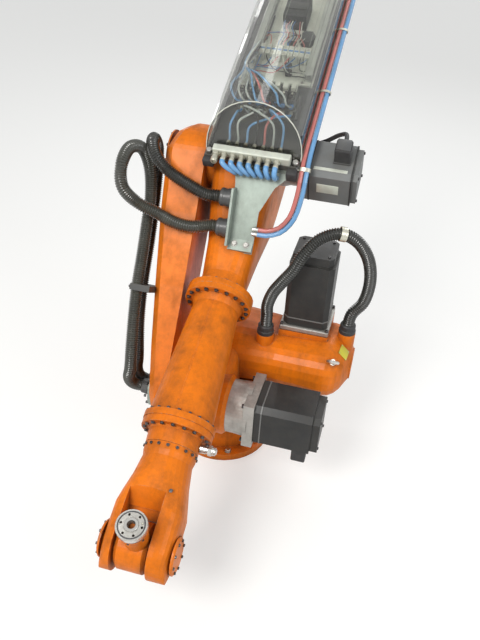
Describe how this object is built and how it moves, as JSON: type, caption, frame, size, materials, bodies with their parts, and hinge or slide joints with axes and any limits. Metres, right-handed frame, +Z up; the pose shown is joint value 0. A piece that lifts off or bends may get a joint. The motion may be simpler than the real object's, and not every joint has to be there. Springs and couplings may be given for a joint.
{
  "type": "industrial robot arm",
  "caption": "Six-axis jointed robot arm on a round base, with a lateral link arm, a tapering forearm, a forked wrist with a tool flange and a clear-hooded valve box.",
  "frame": {"origin": "on the turning axis, at the underside of the base", "axes": "+Z up along the turning axis, the stored arm faces -Y, +X to the right of someone who looks at its front"},
  "size_m": [0.739, 1.5648, 1.4334],
  "materials": {
    "orange_paint": "worn gloss orange enamel on castings",
    "black_motor": "satin black enamel",
    "cast_alloy": "machined and cast light alloy",
    "bright_steel": "turned bright steel",
    "grey_sheet": "grey-green satin sheet",
    "clear_plastic": "clear vaulted plastic, slightly scratched",
    "black_hose": "corrugated black conduit and cable sheath",
    "red_hose": "red air tube",
    "blue_hose": "blue air tube"
  },
  "bodies": {
    "base": {"base_casting": "orange_paint", "junction_box": "black_motor"},
    "column": {"rotating_column": "orange_paint", "shoulder_motor_flange": "cast_alloy", "shoulder_motor": "black_motor", "shoulder_motor_plug": "black_motor", "turning_motor_flange": "cast_alloy", "turning_motor": "black_motor", "turning_motor_plug": "black_motor", "cable_loom": "black_hose", "lifting_eye": "bright_steel"},
    "link": {"link_arm": "orange_paint", "riser_gland_plate": "grey_sheet", "conduit_riser_a": "black_hose", "conduit_riser_b": "black_hose", "riser_clamp": "grey_sheet"},
    "arm": {"arm_housing": "orange_paint", "elbow_motor_flange": "cast_alloy", "elbow_motor": "black_motor", "elbow_motor_plug": "black_motor", "wrist_motor_1": "black_motor", "wrist_motor_2": "black_motor", "wrist_motor_3": "black_motor", "forearm_tube": "orange_paint", "wrist_neck": "orange_paint", "neck_fitting": "cast_alloy", "valve_tray": "black_motor", "valve_hood": "clear_plastic", "hose_bar": "grey_sheet", "valve_bank": "cast_alloy", "terminal_plate": "grey_sheet", "bus_module": "black_motor", "tray_foot_front": "grey_sheet", "tray_foot_rear": "grey_sheet", "hose_bracket": "grey_sheet", "conduit_loop_a": "black_hose", "conduit_loop_b": "black_hose", "air_tube_red": "red_hose", "air_tube_blue": "blue_hose"},
    "fork": {"wrist_fork": "orange_paint", "fork_cover_left": "orange_paint", "fork_cover_right": "orange_paint"},
    "tilt": {"tilting_head": "orange_paint"},
    "flange": {"tool_flange": "bright_steel"}
  },
  "joints": [
    {"name": "turn", "type": "hinge", "parent": "base", "child": "column", "pos_m": [0, 0, 0], "axis": [0, 0, 1], "range_deg": [-185, 185]},
    {"name": "shoulder", "type": "hinge", "parent": "column", "child": "link", "pos_m": [0, -0.22, 0.315], "axis": [1, 0, 0], "range_deg": [-8, 75]},
    {"name": "elbow", "type": "hinge", "parent": "link", "child": "arm", "pos_m": [0, 0.14568, 0.90249], "axis": [-1, 0, 0], "range_deg": [-3, 120], "deforming": ["conduit_loop_a", "conduit_loop_b"]},
    {"name": "forearm_roll", "type": "hinge", "parent": "arm", "child": "fork", "pos_m": [0, -0.51811, 0.39834], "axis": [0, -0.8949, -0.4462], "range_deg": [-350, 350]},
    {"name": "wrist_tilt", "type": "hinge", "parent": "fork", "child": "tilt", "pos_m": [0, -0.73647, 0.28946], "axis": [-1, 0, 0], "range_deg": [-233.5, 36.5]},
    {"name": "flange_turn", "type": "hinge", "parent": "tilt", "child": "flange", "pos_m": [0, -0.77974, 0.42261], "axis": [0, -0.309, 0.9511], "range_deg": [-350, 350]}
  ]
}
